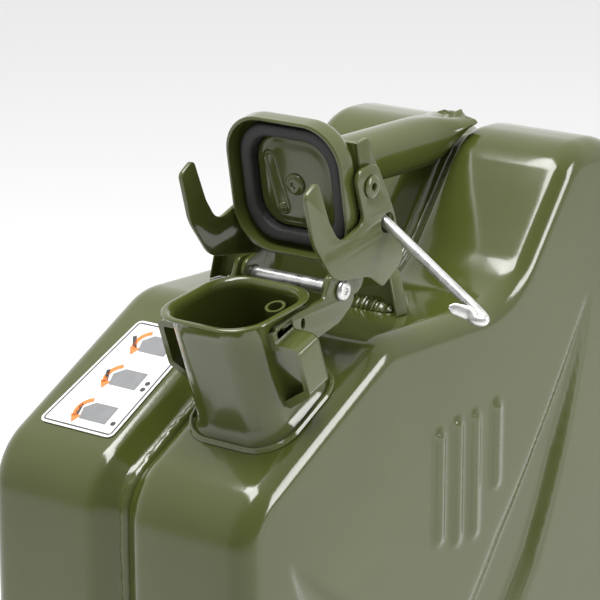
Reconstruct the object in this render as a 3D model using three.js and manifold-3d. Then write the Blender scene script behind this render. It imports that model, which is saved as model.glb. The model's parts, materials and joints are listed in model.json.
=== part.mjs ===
// A ten-litre pressed-steel jerry can with its cam-lever closure open.
// Millimetres, +Z up, +X towards the raised rear hump, -Y towards the side that carries the spout.

import * as THREE from 'three';
import { mergeVertices } from 'three/addons/utils/BufferGeometryUtils.js';
import Module from 'manifold-3d';

const wasm = await Module();
wasm.setup();

const GAP = 0.3;
const SHEET = 0.9;
const DEGREE = Math.PI / 180;

// Can body, in its own frame: x = 0 at mid length, y = 0 on the seam, z = 0 at the base.
const HALF_LENGTH = 141.5;
const HALF_DEPTH = 68.5;
const HUMP_TOP = 375;
const SHOULDER_FRONT = new THREE.Vector2(-HALF_LENGTH, 269);
const SHOULDER_REAR = new THREE.Vector2(-48.5, 319);
const CHANNEL_DEPTH = 8;
const CHANNEL_FLOOR = 4;
const CHANNEL_RIM = 12;
const BEAD_HEIGHT = 2.3;
const SIDE_RADIUS = 10;
const CORNER_STEPS = 5;

// Closure frame: its origin and the tilts of its planes.
const CLOSURE = new THREE.Vector3(-64.5, -36, 341.2);
const MOUTH = new THREE.Vector3(-43.2, 0, 1.1);
const MOUTH_TILT = 8 * DEGREE;
const NECK_LEAN = 20 * DEGREE;
const NECK_HALF = 22;
const NECK_BORE = 20.6;
const FLANGE_HALF = 24.8;
const CORNER_SHARE = 0.6;

// Moving closure: hinge and lever pivot, both axes along Y.
const HINGE = new THREE.Vector3(-5.7, 0, 1.4);
const LEVER_PIVOT = new THREE.Vector3(3.2, 0, 43.1);
const OPEN_ANGLE = 88 * DEGREE;
const LID_HALF = 29;
const LID_DEPTH = 11;
const LID_CENTRE = new THREE.Vector3(-38.5, 0, 1.9);
const EAR_INSIDE = NECK_HALF + GAP;
const EAR_SHEET = 2;
const LEVER_INSIDE = 30;
const LEVER_SHEET = 2;
const CHEEK_INSIDE = 27.5;
const CHEEK_SHEET = 1.8;
const ARM_INSIDE = 19.7;
const ARM_SHEET = 2;
const LOOP_REACH = 35.6;
const HINGE_PIN_RADIUS = 3;
const RIVET_RADIUS = 2.6;
const RIVET_HEAD = 4;

// Locking pin, held in the near hook plate and drooping.
const PIN_HOLE = new THREE.Vector3(14.1, 0, 26.4);
const PIN_HOLE_RADIUS = 4.2;
const PIN_RADIUS = 2.25;
const PIN_LENGTH = 58;
const PIN_DROOP = 33 * DEGREE;

// Handle along the seam plane.
const HANDLE_RADIUS = 11.75;
const HANDLE_HEIGHT = 371.5;
const FOOT_X = -13.5;
const FOOT_SHEET = 2;

const OLIVE = 0x5f6440;
const ZINC = 0xb8bab4;
const BLACK = 0x161616;
const WHITE = 0xe9e9e4;

/** The mesh turned right side out, so that its faces point away from the material. */
function closedGeometry(positions, index) {
  const corner = [new THREE.Vector3(), new THREE.Vector3(), new THREE.Vector3()];
  let volume = 0;
  for (let k = 0; k < index.length; k += 3) {
    corner.forEach((point, n) => point.fromArray(positions, 3 * index[k + n]));
    volume += corner[0].dot(corner[1].clone().cross(corner[2]));
  }
  const facesOut = volume < 0 ? [...index].reverse() : index;
  const geometry = new THREE.BufferGeometry();
  geometry.setAttribute('position', new THREE.Float32BufferAttribute(positions, 3));
  geometry.setIndex(facesOut);
  return geometry;
}

/** Triangles that fill one planar loop, seen along the axis that it faces most. */
function capTriangles(loop) {
  const normal = new THREE.Vector3();
  loop.forEach((point, k) => normal.add(point.clone().cross(loop[(k + 1) % loop.length])));
  const size = [Math.abs(normal.x), Math.abs(normal.y), Math.abs(normal.z)];
  const faces = size.indexOf(Math.max(...size));
  const flat = loop.map((point) => {
    const kept = point.toArray().filter((value, axis) => axis !== faces);
    return new THREE.Vector2(...kept);
  });
  const clockwise = THREE.ShapeUtils.isClockWise(flat);
  const triangles = THREE.ShapeUtils.triangulateShape(clockwise ? [...flat].reverse() : flat, []);
  const last = loop.length - 1;
  return triangles.map((face) => (clockwise ? face.map((k) => last - k).reverse() : face))
    .map((face) => {
      const [a, b, c] = face.map((k) => loop[k]);
      const turn = b.clone().sub(a).cross(c.clone().sub(a));
      return turn.dot(normal) > 0 ? face : [...face].reverse();
    });
}

/** A skin through loops of equally many points, capped at both ends or joined into a ring. */
function loft(loops, ring = false) {
  const count = loops[0].length;
  const positions = loops.flat().flatMap((point) => point.toArray());
  const index = [];
  const bands = ring ? loops.length : loops.length - 1;
  for (let band = 0; band < bands; band += 1) {
    const here = band * count;
    const next = ((band + 1) % loops.length) * count;
    for (let k = 0; k < count; k += 1) {
      const turn = (k + 1) % count;
      index.push(here + k, here + turn, next + turn, here + k, next + turn, next + k);
    }
  }
  if (!ring) {
    const end = (loops.length - 1) * count;
    capTriangles(loops[0]).forEach(([a, b, c]) => index.push(c, b, a));
    capTriangles(loops.at(-1)).forEach(([a, b, c]) => index.push(end + a, end + b, end + c));
  }
  return closedGeometry(positions, index);
}

function toSolid(geometry) {
  const bare = geometry.clone();
  bare.deleteAttribute('normal');
  bare.deleteAttribute('uv');
  const merged = mergeVertices(bare);
  return new wasm.Manifold(new wasm.Mesh({
    numProp: 3,
    vertProperties: new Float32Array(merged.attributes.position.array),
    triVerts: new Uint32Array(merged.index.array),
  }));
}

function toGeometry(solid) {
  const mesh = solid.getMesh();
  const geometry = new THREE.BufferGeometry();
  geometry.setAttribute('position', new THREE.Float32BufferAttribute(mesh.vertProperties, 3));
  geometry.setIndex(Array.from(mesh.triVerts));
  return geometry;
}

/** The first geometry joined with the others. */
function join(first, ...others) {
  return toGeometry(others.reduce((whole, piece) => whole.add(toSolid(piece)), toSolid(first)));
}

/** The first geometry with the others cut out of it. */
function cut(first, ...tools) {
  return toGeometry(tools.reduce((whole, tool) => whole.subtract(toSolid(tool)), toSolid(first)));
}

/** Arcs that round the corners of an outline, each corner given as [x, z, radius]. */
function filletArcs(corners) {
  return corners.map(([x, z, radius], k) => {
    const here = new THREE.Vector2(x, z);
    const [beforeX, beforeZ] = corners.at(k - 1);
    const [afterX, afterZ] = corners[(k + 1) % corners.length];
    const arriving = here.clone().sub(new THREE.Vector2(beforeX, beforeZ)).normalize();
    const leaving = new THREE.Vector2(afterX, afterZ).sub(here).normalize();
    const turn = Math.atan2(arriving.cross(leaving), arriving.dot(leaving));
    const side = Math.sign(turn);
    const start = here.clone().addScaledVector(arriving, -radius * Math.tan(Math.abs(turn) / 2));
    const inward = new THREE.Vector2(-arriving.y, arriving.x).multiplyScalar(side);
    const centre = start.clone().addScaledVector(inward, radius);
    return { centre, radius, side, turn, from: start.sub(centre).angle() };
  });
}

/** Points of a rounded outline, drawn in by a distance while its arcs keep their centres. */
function outlinePoints(arcs, inset = 0, steps = CORNER_STEPS) {
  return arcs.flatMap(({ centre, radius, side, turn, from }) => (
    Array.from({ length: steps + 1 }, (_, k) => {
      const angle = from + (turn * k) / steps;
      const reach = radius - side * inset;
      return new THREE.Vector2(centre.x + reach * Math.cos(angle), centre.y + reach * Math.sin(angle));
    })
  ));
}

/** A square with round corners, centred on the origin. */
function roundSquare(half) {
  const radius = half * CORNER_SHARE;
  const corners = [[-half, -half, radius], [half, -half, radius], [half, half, radius], [-half, half, radius]];
  return outlinePoints(filletArcs(corners));
}

/** A sheet cut to an outline in the XZ plane, from y = inside to inside + thickness on one side. */
function sheetPlate(corners, inside, thickness, side, steps = 3) {
  const shape = new THREE.Shape(outlinePoints(filletArcs(corners), 0, steps));
  const geometry = new THREE.ExtrudeGeometry(shape, { depth: thickness, bevelEnabled: false });
  geometry.rotateX(Math.PI / 2);
  return geometry.translate(0, side > 0 ? inside + thickness : -inside, 0);
}

/** A cylinder along Y through a point, from y = low to y = high. */
function rodAlongY(radius, low, high, at, sides = 16) {
  const geometry = new THREE.CylinderGeometry(radius, radius, high - low, sides);
  return geometry.translate(at.x, (low + high) / 2, at.z);
}

// ---------------------------------------------------------------- can body

const BODY_ARCS = filletArcs([
  [-HALF_LENGTH, 0, 18],
  [HALF_LENGTH, 0, 18],
  [HALF_LENGTH, HUMP_TOP, 38],
  [84.5, HUMP_TOP, 27],
  [38.5, 317, 40],
  [SHOULDER_REAR.x, SHOULDER_REAR.y, 30],
  [SHOULDER_FRONT.x, SHOULDER_FRONT.y, 30],
]);

/** The section of a half body: [distance from the seam plane, distance in from the outline]. */
function halfSection() {
  const flatEnd = HALF_DEPTH - SIDE_RADIUS;
  const section = [[GAP / 2, CHANNEL_DEPTH], [CHANNEL_FLOOR, CHANNEL_DEPTH]];
  section.push([CHANNEL_RIM - 2, 2], [CHANNEL_RIM, 0.5], [CHANNEL_RIM + 3, 0]);
  const steps = 4;
  for (let k = 0; k <= steps; k += 1) {
    const angle = (k / steps) * (Math.PI / 2);
    section.push([flatEnd + SIDE_RADIUS * Math.sin(angle), SIDE_RADIUS * (1 - Math.cos(angle))]);
  }
  return section;
}

/** The section moved into the can (positive) or out of it (negative). */
function movedSection(section, distance) {
  return section.map(([y, inset], k) => {
    const before = section[Math.max(k - 1, 0)];
    const after = section[Math.min(k + 1, section.length - 1)];
    const along = new THREE.Vector2(after[0] - before[0], after[1] - before[1]).normalize();
    return [y - along.y * distance, inset + along.x * distance];
  });
}

function bodyLoop(y, inset) {
  return outlinePoints(BODY_ARCS, inset).map((point) => new THREE.Vector3(point.x, y, point.y));
}

/** The whole body as one block, a gap larger than the sheet, to cut what stands on it. */
function bodyBlock() {
  const half = movedSection(halfSection(), -GAP);
  const overBead = CHANNEL_DEPTH - BEAD_HEIGHT - GAP;
  half[0] = [CHANNEL_FLOOR / 2, overBead];
  half[1] = [CHANNEL_FLOOR + 1, overBead];
  const near = half.map(([y, inset]) => bodyLoop(-y, inset)).reverse();
  const far = half.map(([y, inset]) => bodyLoop(y, inset));
  return loft([...near, ...far]);
}

/** One pressed half: the outer skin down to the seam, and the inner skin back up. */
function halfShell(side) {
  const section = halfSection();
  const outer = section.map(([y, inset]) => bodyLoop(side * y, inset)).reverse();
  const inner = movedSection(section, SHEET).map(([y, inset]) => bodyLoop(side * y, inset));
  return loft([...outer, ...inner]);
}

/** The weld bead that joins the halves at the bottom of the seam channel. */
function seamWeld() {
  const bead = [[-2.4, -GAP], [-1.4, -BEAD_HEIGHT], [1.4, -BEAD_HEIGHT], [2.4, -GAP]];
  return loft(bead.map(([y, height]) => bodyLoop(y, CHANNEL_DEPTH + height)), true);
}

/** A point of the shoulder, a share of the way up from the front and raised off its face. */
function shoulderPoint(share, y, raised) {
  const slope = SHOULDER_REAR.clone().sub(SHOULDER_FRONT);
  const normal = new THREE.Vector2(-slope.y, slope.x).normalize();
  const at = SHOULDER_FRONT.clone().addScaledVector(slope, share).addScaledVector(normal, raised);
  return new THREE.Vector3(at.x, y, at.y);
}

/** The instruction label, a thin sheet on the far half of the shoulder. */
function labelSheet() {
  const corners = [[0.2, 16], [0.2, 56], [0.81, 50], [0.81, 16]];
  return loft([GAP, 2 * GAP].map((raised) => corners.map(([share, y]) => shoulderPoint(share, y, raised))));
}

// ---------------------------------------------------------------- spout

const NECK_DOWN = new THREE.Vector3(Math.sin(NECK_LEAN), 0, -Math.cos(NECK_LEAN));
const SHOULDER_TILT = SHOULDER_REAR.clone().sub(SHOULDER_FRONT).angle();

/** The length of the neck's axis from the mouth to a plane just off the shoulder. */
function neckLength() {
  const shoulder = shoulderPoint(0, 0, GAP).sub(CLOSURE);
  const normal = new THREE.Vector3(-Math.sin(SHOULDER_TILT), 0, Math.cos(SHOULDER_TILT));
  return shoulder.sub(MOUTH).dot(normal) / NECK_DOWN.dot(normal);
}

const NECK_LENGTH = neckLength();

/** A round square across the neck, at a distance down its axis, in a plane of its own tilt. */
function neckLoop(down, tilt, half) {
  const centre = MOUTH.clone().addScaledVector(NECK_DOWN, down);
  const stretch = 1 / Math.cos(tilt - NECK_LEAN);
  return roundSquare(half).map((point) => new THREE.Vector3(
    centre.x + point.x * stretch * Math.cos(tilt),
    point.y,
    centre.z + point.x * stretch * Math.sin(tilt),
  ));
}

/** The drawn neck: rolled flange at the mouth, leaning wall, and a flared foot on the shoulder. */
function spoutNeck() {
  return loft([
    neckLoop(0.4, MOUTH_TILT, FLANGE_HALF - 0.8),
    neckLoop(1.2, MOUTH_TILT, FLANGE_HALF),
    neckLoop(2.2, MOUTH_TILT, FLANGE_HALF - 0.4),
    neckLoop(3, MOUTH_TILT, NECK_HALF),
    neckLoop(NECK_LENGTH - 7, SHOULDER_TILT, NECK_HALF),
    neckLoop(NECK_LENGTH - 2.5, SHOULDER_TILT, NECK_HALF + 0.8),
    neckLoop(NECK_LENGTH, SHOULDER_TILT, NECK_HALF + 2.5),
    neckLoop(NECK_LENGTH, SHOULDER_TILT, NECK_BORE),
    neckLoop(4, MOUTH_TILT, NECK_BORE),
    neckLoop(0, MOUTH_TILT, NECK_BORE + 1.4),
  ], true);
}

/** The weld bead round the foot of the neck. */
function neckWeld() {
  return loft([
    neckLoop(NECK_LENGTH, SHOULDER_TILT, NECK_HALF + 2.9),
    neckLoop(NECK_LENGTH - 1.2, SHOULDER_TILT, NECK_HALF + 2.4),
    neckLoop(NECK_LENGTH - 1.2, SHOULDER_TILT, NECK_HALF + 3.4),
    neckLoop(NECK_LENGTH, SHOULDER_TILT, NECK_HALF + 4.2),
  ], true);
}

/** The opening through the shoulder under the neck, in the can's frame. */
function neckOpening() {
  const reach = 12;
  const tool = loft([
    neckLoop(NECK_LENGTH - reach, SHOULDER_TILT, NECK_BORE),
    neckLoop(NECK_LENGTH + reach, SHOULDER_TILT, NECK_BORE),
  ]);
  return tool.translate(CLOSURE.x, CLOSURE.y, CLOSURE.z);
}

/** A hollow tube along a curve. */
function tubeAlong(path, outer, inner, steps) {
  const ringSides = 8;
  const circle = (radius) => Array.from({ length: ringSides }, (_, k) => {
    const angle = (2 * Math.PI * k) / ringSides;
    return new THREE.Vector2(radius * Math.cos(angle), radius * Math.sin(angle));
  });
  const shape = new THREE.Shape(circle(outer));
  if (inner > 0) {
    shape.holes.push(new THREE.Path(circle(inner)));
  }
  return new THREE.ExtrudeGeometry(shape, { steps, extrudePath: path, bevelEnabled: false });
}

/** The breather: down the rear of the neck, then back and up under the hump, where the air is. */
function ventTube() {
  const top = MOUTH.clone().add(new THREE.Vector3(14.5, -7, 2)).addScaledVector(NECK_DOWN, 7);
  const foot = top.clone().addScaledVector(NECK_DOWN, 40);
  return tubeAlong(new THREE.CatmullRomCurve3([
    top,
    top.clone().lerp(foot, 0.5),
    foot,
    new THREE.Vector3(30, -7, -50),
    new THREE.Vector3(110, -7, -46),
    new THREE.Vector3(170, -7, 12),
  ]), 4.2, 2.8, 20);
}

/** Place on the strap: along the neck's side, across it and out from it. */
function strapPoint(across, down) {
  return MOUTH.clone()
    .addScaledVector(NECK_DOWN, down)
    .add(new THREE.Vector3(across * Math.cos(NECK_LEAN), 0, across * Math.sin(NECK_LEAN)));
}

/** The loop that a hook pulls on: shelf, outer face and a foot back to the neck. */
function latchLoop(side) {
  const inner = EAR_INSIDE;
  const outer = LOOP_REACH;
  const section = [
    [inner, 5], [inner + 2, 5], [inner + 2, 10], [outer - 1.6, 10.4], [outer, 12], [outer, 31.5],
    [inner + 1.6, 39.5], [inner, 39.5], [inner, 37], [outer - 2, 29.8], [outer - 2, 12.8], [inner, 12.2],
  ];
  const edge = (across) => section.map(([out, down]) => {
    const at = strapPoint(across, down);
    return new THREE.Vector3(at.x, side * out, at.z);
  });
  return loft([edge(-9), edge(3.4)]);
}

/** One bent bracket: the ear that carries the hinge pin, with the latch loop in front of it. */
function latchBracket(side) {
  const ear = sheetPlate([
    [-45.6, -12, 1], [-33, -10, 2], [-22, -15, 4], [-7, -11.5, 6], [2.6, -5, 6],
    [2, 9, 6.5], [-12.5, 9, 4], [-16.5, 0.2, 3], [-34, -1.6, 2], [-48.2, -4.8, 1],
  ], EAR_INSIDE, EAR_SHEET, side);
  const reach = side * (EAR_INSIDE + EAR_SHEET / 2);
  const hole = rodAlongY(HINGE_PIN_RADIUS + GAP, reach - EAR_SHEET, reach + EAR_SHEET, HINGE);
  return cut(join(ear, latchLoop(side)), hole);
}

/** A headed pin along Y, made of a profile of [radius, y] points that starts and ends on the axis. */
function headedPin(profile, at, sides = 16) {
  const geometry = new THREE.LatheGeometry(profile.map(([r, y]) => new THREE.Vector2(r, y)), sides);
  return geometry.translate(at.x, 0, at.z);
}

function hingePin() {
  const seat = EAR_INSIDE + EAR_SHEET + GAP;
  const head = 4.2;
  return headedPin([
    [0, -seat - 2], [head - 1.4, -seat - 1.8], [head, -seat - 0.6], [head, -seat],
    [HINGE_PIN_RADIUS, -seat], [HINGE_PIN_RADIUS, seat],
    [head, seat], [head, seat + 0.6], [head - 1.4, seat + 1.8], [0, seat + 2],
  ], HINGE);
}

// ---------------------------------------------------------------- lid, in the closed lid's frame at the hinge

function lidLoop(half, height) {
  return roundSquare(half).map((point) => (
    new THREE.Vector3(LID_CENTRE.x + point.x, point.y, LID_CENTRE.z + height)
  ));
}

/** A short cylinder along the lid's own axis, to drill the rivet hole. */
function lidDrill() {
  const tool = new THREE.CylinderGeometry(RIVET_RADIUS + GAP, RIVET_RADIUS + GAP, 30, 16);
  tool.rotateX(Math.PI / 2);
  return tool.translate(LID_CENTRE.x, 0, LID_CENTRE.z + LID_DEPTH);
}

/** The dished cap: top, rounded shoulder and skirt, 1.5 mm sheet. */
function lidDish() {
  const wall = 1.5;
  const dish = loft([
    lidLoop(LID_HALF - 4, LID_DEPTH),
    lidLoop(LID_HALF - 1.2, LID_DEPTH - 1.2),
    lidLoop(LID_HALF, LID_DEPTH - 4),
    lidLoop(LID_HALF, 0),
    lidLoop(LID_HALF - wall, 0),
    lidLoop(LID_HALF - wall, LID_DEPTH - 4.3),
    lidLoop(LID_HALF - wall - 1.4, LID_DEPTH - wall),
  ]);
  return cut(dish, lidDrill());
}

/** The square-section sealing ring that meets the flange of the mouth. */
function lidGasket() {
  const top = LID_DEPTH - 1.5 - GAP;
  return loft([
    lidLoop(LID_HALF - 4, top),
    lidLoop(LID_HALF - 4, 3.9),
    lidLoop(LID_HALF - 5, 3.4),
    lidLoop(LID_HALF - 8.5, 3.4),
    lidLoop(LID_HALF - 9.2, 4),
    lidLoop(LID_HALF - 9.2, top),
  ], true);
}

/** The pressed retaining panel inside the ring, with a raised middle. */
function lidPanel() {
  const top = LID_DEPTH - 1.5 - GAP;
  const half = LID_HALF - 9.6;
  return cut(loft([
    lidLoop(half, top),
    lidLoop(half, top - 1.4),
    lidLoop(half - 3, top - 1.6),
    lidLoop(half - 5, top - 2.6),
  ]), lidDrill());
}

/** The rivet that holds panel, dish and carrier together. */
function lidRivet() {
  const low = LID_DEPTH - 1.5 - GAP - 2.6 - GAP;
  const high = LID_DEPTH + GAP + CHEEK_SHEET + GAP;
  const geometry = new THREE.LatheGeometry([
    [0, low - 1.6], [3, low - 1.4], [4.6, low], [RIVET_RADIUS, low],
    [RIVET_RADIUS, high], [4.6, high], [3, high + 1.4], [0, high + 1.6],
  ].map(([r, y]) => new THREE.Vector2(r, y)), 16);
  geometry.rotateX(Math.PI / 2);
  return geometry.translate(LID_CENTRE.x, 0, LID_CENTRE.z);
}

/** The carrier on the back of the lid: bridge, two cheeks at the lever pivot, two arms to the hinge. */
function lidCarrier(pivot) {
  const low = LID_CENTRE.z + LID_DEPTH + GAP;
  const bridgeTop = low + CHEEK_SHEET;
  const cheekOutside = CHEEK_INSIDE + CHEEK_SHEET;
  const bridge = new THREE.BoxGeometry(36, 2 * cheekOutside, CHEEK_SHEET);
  bridge.translate(-40, 0, low + CHEEK_SHEET / 2);
  const pieces = [];
  for (const side of [-1, 1]) {
    pieces.push(sheetPlate([
      [-58, low, 0.5], [-22, low, 0.5], [-22, bridgeTop + 3, 3], [-31, low + 11, 6],
      [-45, low + 11.5, 5], [-51, low + 8.5, 4], [-58, low + 9, 3],
    ], CHEEK_INSIDE, CHEEK_SHEET, side));
    pieces.push(sheetPlate([
      [-34, low, 0.5], [-8.6, low, 2], [-7, -7, 6], [7, -7, 6.5], [6.5, low + 4, 7], [-6, low + 6.5, 6],
      [-34, low + 5, 2],
    ], ARM_INSIDE, ARM_SHEET, side));
  }
  const pivotHole = rodAlongY(RIVET_RADIUS + GAP, -40, 40, pivot);
  const headRooms = [-1, 1].map((side) => {
    const middle = side * (CHEEK_INSIDE - 1);
    return rodAlongY(RIVET_HEAD + GAP, middle - 1, middle + 1, pivot);
  });
  const hingeHole = rodAlongY(HINGE_PIN_RADIUS + GAP, -40, 40, new THREE.Vector3());
  return cut(join(bridge, ...pieces), pivotHole, ...headRooms, hingeHole, lidDrill());
}

// ---------------------------------------------------------------- lever and locking pin

const HOOK_OUTLINE = [
  [11.5, 0.5, 2.5], [25.5, 9.3, 5], [18.3, 31, 14], [6.8, 52.3, 6], [-7.4, 50.2, 5],
  [-0.8, 29.5, 4], [-16.6, 23.4, 7], [-23.6, 33.6, 14], [-31.2, 51.6, 2.2], [-39, 46.4, 3],
  [-33.4, 26.5, 18], [-20.5, 9.2, 14], [2, 6.6, 10],
];

/** Two hook plates joined by a rear web, pressed from one sheet. */
function hookLever() {
  const width = 2 * (LEVER_INSIDE + LEVER_SHEET);
  const web = sheetPlate([
    [24.6, 11, 1], [18.4, 30.2, 0.8], [16.5, 29.6, 0.8], [22.7, 10.4, 0.8],
  ], -width / 2, width, 1);
  const plates = [-1, 1].map((side) => sheetPlate(HOOK_OUTLINE, LEVER_INSIDE, LEVER_SHEET, side));
  const pivotHole = rodAlongY(RIVET_RADIUS + GAP, -40, 40, LEVER_PIVOT);
  const pinHole = rodAlongY(PIN_HOLE_RADIUS, -40, 40, PIN_HOLE, 20);
  return cut(join(web, ...plates), pivotHole, pinHole);
}

/** The rivet at one side of the lever pivot, through a cheek and a hook plate. */
function pivotRivet(side) {
  const inside = CHEEK_INSIDE - GAP;
  const outside = LEVER_INSIDE + LEVER_SHEET + GAP;
  const profile = [
    [0, inside - 1.4], [RIVET_HEAD - 0.4, inside - 1.2], [RIVET_HEAD, inside], [RIVET_RADIUS, inside],
    [RIVET_RADIUS, outside], [4.6, outside], [4.2, outside + 1], [1.6, outside + 1.2], [0, outside + 0.6],
  ];
  const ordered = side > 0 ? profile : profile.map(([r, y]) => [r, -y]).reverse();
  return headedPin(ordered, LEVER_PIVOT);
}

/** The bent locking pin: flattened inner end, straight rod, and a tail folded back. */
function lockingPin() {
  const inside = 9;
  const tail = 13;
  const along = new THREE.Vector3(0, -Math.cos(PIN_DROOP), -Math.sin(PIN_DROOP));
  const back = new THREE.Vector3(-0.48, 0.82, 0.3).normalize();
  const end = along.clone().multiplyScalar(PIN_LENGTH);
  const knee = end.clone().addScaledVector(back, 3);
  const rod = tubeAlong(new THREE.CatmullRomCurve3([
    along.clone().multiplyScalar(-inside),
    new THREE.Vector3(),
    along.clone().multiplyScalar(PIN_LENGTH * 0.5),
    along.clone().multiplyScalar(PIN_LENGTH - 4),
    end.clone().add(new THREE.Vector3(-1.6, 0, 0)),
    knee.add(new THREE.Vector3(-2, 0, -0.6)),
    end.clone().addScaledVector(back, tail),
  ], false, 'centripetal'), PIN_RADIUS, 0, 24);
  const flat = new THREE.SphereGeometry(1, 10, 6);
  flat.scale(1.9, 4, 3.2);
  flat.rotateX(-PIN_DROOP);
  flat.translate(...along.clone().multiplyScalar(-inside).toArray());
  return join(rod, flat);
}

// ---------------------------------------------------------------- handle

/** An ellipse across the handle, facing along X. */
function handleLoop(x, height, halfWidth, halfHeight) {
  const sides = 16;
  return Array.from({ length: sides }, (_, k) => {
    const angle = (2 * Math.PI * k) / sides;
    return new THREE.Vector3(x, halfWidth * Math.cos(angle), height + halfHeight * Math.sin(angle));
  });
}

/** The carrying tube, open at the front and pinched flat where it lies on the hump. */
function handleTube() {
  const front = FOOT_X + FOOT_SHEET + GAP;
  const wall = 1.5;
  const outer = loft([
    handleLoop(front, HANDLE_HEIGHT, HANDLE_RADIUS, HANDLE_RADIUS),
    handleLoop(62, HANDLE_HEIGHT, HANDLE_RADIUS, HANDLE_RADIUS),
    handleLoop(71, HANDLE_HEIGHT + 0.6, HANDLE_RADIUS, HANDLE_RADIUS - 0.6),
    handleLoop(81, HANDLE_HEIGHT + 4.2, HANDLE_RADIUS + 1.5, 6.4),
    handleLoop(90, HANDLE_HEIGHT + 6.2, HANDLE_RADIUS + 3, 3),
  ]);
  const bore = loft([
    handleLoop(front - 1, HANDLE_HEIGHT, HANDLE_RADIUS - wall, HANDLE_RADIUS - wall),
    handleLoop(63, HANDLE_HEIGHT, HANDLE_RADIUS - wall, HANDLE_RADIUS - wall),
  ]);
  return cut(outer, bore, bodyBlock());
}

/** The standing plate under the front of the handle, its edges folded forward. */
function handleFoot() {
  const lip = 6;
  const foot = 312;
  const top = HANDLE_HEIGHT + HANDLE_RADIUS + 1.5;
  const outline = [[-52, foot, 1], [52, foot, 1], [47, 334, 12], [15.5, top, 9], [-15.5, top, 9], [-47, 334, 12]];
  const sheetAcross = (inset, low, high) => {
    const points = outlinePoints(filletArcs(outline), inset, 4);
    return loft([low, high].map((x) => points.map((point) => new THREE.Vector3(x, point.x, point.y))));
  };
  const pressing = sheetAcross(0, FOOT_X - lip, FOOT_X + FOOT_SHEET);
  const hollow = sheetAcross(0.8, FOOT_X - lip - 1, FOOT_X);
  hollow.translate(0, 0, -0.8);
  const openFoot = new THREE.BoxGeometry(lip + 1, 92, 20);
  openFoot.translate(FOOT_X - (lip + 1) / 2, 0, foot + 4);
  return cut(pressing, hollow, openFoot, bodyBlock());
}

/** A fillet weld along the foot of the plate, on one side of the seam. */
function footWeld(side) {
  const floor = 318.6;
  const front = FOOT_X - GAP;
  const shape = [[front, floor], [front, floor + 3.2], [front - 3.4, floor]];
  return loft([20, 44].map((y) => shape.map(([x, z]) => new THREE.Vector3(x, side * y, z))));
}

// ---------------------------------------------------------------- assembly

function named(name, geometry, color, roughness = 0.35, metalness = 0.1) {
  const flat = geometry.index ? geometry.toNonIndexed() : geometry;
  flat.deleteAttribute('normal');
  flat.computeVertexNormals();
  const mesh = new THREE.Mesh(flat, new THREE.MeshStandardMaterial({ color, roughness, metalness }));
  mesh.name = name;
  return mesh;
}

/** A point of the closure frame, seen in the frame of the closed lid. */
function inLidFrame(point, lid) {
  lid.updateMatrix();
  return point.clone().applyMatrix4(lid.matrix.clone().invert());
}

function lidAssembly() {
  const lid = new THREE.Group();
  lid.position.copy(HINGE);
  lid.rotation.y = OPEN_ANGLE - MOUTH_TILT;
  lid.add(
    named('lid_dish', lidDish(), OLIVE),
    named('lid_gasket', lidGasket(), BLACK, 0.7, 0),
    named('lid_inner_panel', lidPanel(), OLIVE),
    named('lid_rivet', lidRivet(), OLIVE),
    named('lid_carrier', lidCarrier(inLidFrame(LEVER_PIVOT, lid)), OLIVE),
  );
  return lid;
}

function leverAssembly() {
  const lever = new THREE.Group();
  const pin = new THREE.Group();
  pin.position.set(PIN_HOLE.x, -(LEVER_INSIDE + LEVER_SHEET / 2), PIN_HOLE.z);
  pin.add(named('locking_pin', lockingPin(), ZINC, 0.3, 0.9));
  lever.add(
    named('hook_lever', hookLever(), OLIVE),
    named('pivot_rivet_near', pivotRivet(-1), OLIVE),
    named('pivot_rivet_far', pivotRivet(1), OLIVE),
    pin,
  );
  return lever;
}

function closureAssembly() {
  const closure = new THREE.Group();
  closure.position.copy(CLOSURE);
  closure.add(
    named('spout_neck', spoutNeck(), OLIVE),
    named('neck_weld', neckWeld(), OLIVE),
    named('vent_tube', ventTube(), OLIVE),
    named('latch_bracket_near', latchBracket(-1), OLIVE),
    named('latch_bracket_far', latchBracket(1), OLIVE),
    named('hinge_pin', hingePin(), ZINC, 0.3, 0.9),
    lidAssembly(),
    leverAssembly(),
  );
  return closure;
}

const can = new THREE.Group();
can.add(
  named('half_shell_near', cut(halfShell(-1), neckOpening()), OLIVE),
  named('half_shell_far', halfShell(1), OLIVE),
  named('seam_weld', seamWeld(), OLIVE),
  named('label', labelSheet(), WHITE, 0.5, 0),
  named('handle_tube', handleTube(), OLIVE),
  named('handle_foot', handleFoot(), OLIVE),
  named('foot_weld_near', footWeld(-1), OLIVE),
  named('foot_weld_far', footWeld(1), OLIVE),
  closureAssembly(),
);

// The part's origin is the middle of its box at the base, so the can is moved there.
const box = new THREE.Box3().setFromObject(can, true);
can.position.set(-(box.min.x + box.max.x) / 2, -(box.min.y + box.max.y) / 2, -box.min.z);

const jerryCan = new THREE.Group();
jerryCan.add(can);

export default jerryCan;
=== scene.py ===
"""The looks of a ten-litre steel jerry can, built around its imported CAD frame.

Lengths are in mm until a mesh is made, and in metres from there on. X runs along the can from the spout
to the hump, Y across it, and Z up. The pieces ride on the frame's bodies: body, lid, lever and pin.
"""
import json
import math

import bmesh
import bpy
from mathutils import Matrix, Vector, noise


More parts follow.
